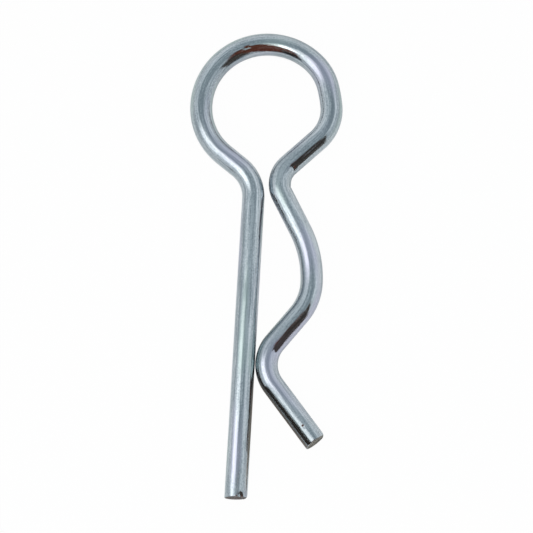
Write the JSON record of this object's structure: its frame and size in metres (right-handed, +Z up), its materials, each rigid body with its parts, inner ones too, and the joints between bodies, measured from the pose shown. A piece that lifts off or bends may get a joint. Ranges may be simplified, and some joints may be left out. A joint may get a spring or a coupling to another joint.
{
  "type": "hitch R clip",
  "caption": "Hitch R clip bent from one round zinc-plated spring wire, with a round pull loop, straight leg, waisted sprung arm and flared tip.",
  "frame": {"origin": "bottom centre of the clip's bounding box, as it lies flat on its side", "axes": "+Z up out of the plane that the wire is bent in, +Y along the straight leg from its free end towards the loop, +X from the leg towards the sprung arm"},
  "size_m": [0.0276, 0.085, 0.004],
  "materials": {
    "zinc_plated_wire": "gloss"
  },
  "bodies": {
    "root": {"r_clip": "zinc_plated_wire"}
  },
  "joints": []
}
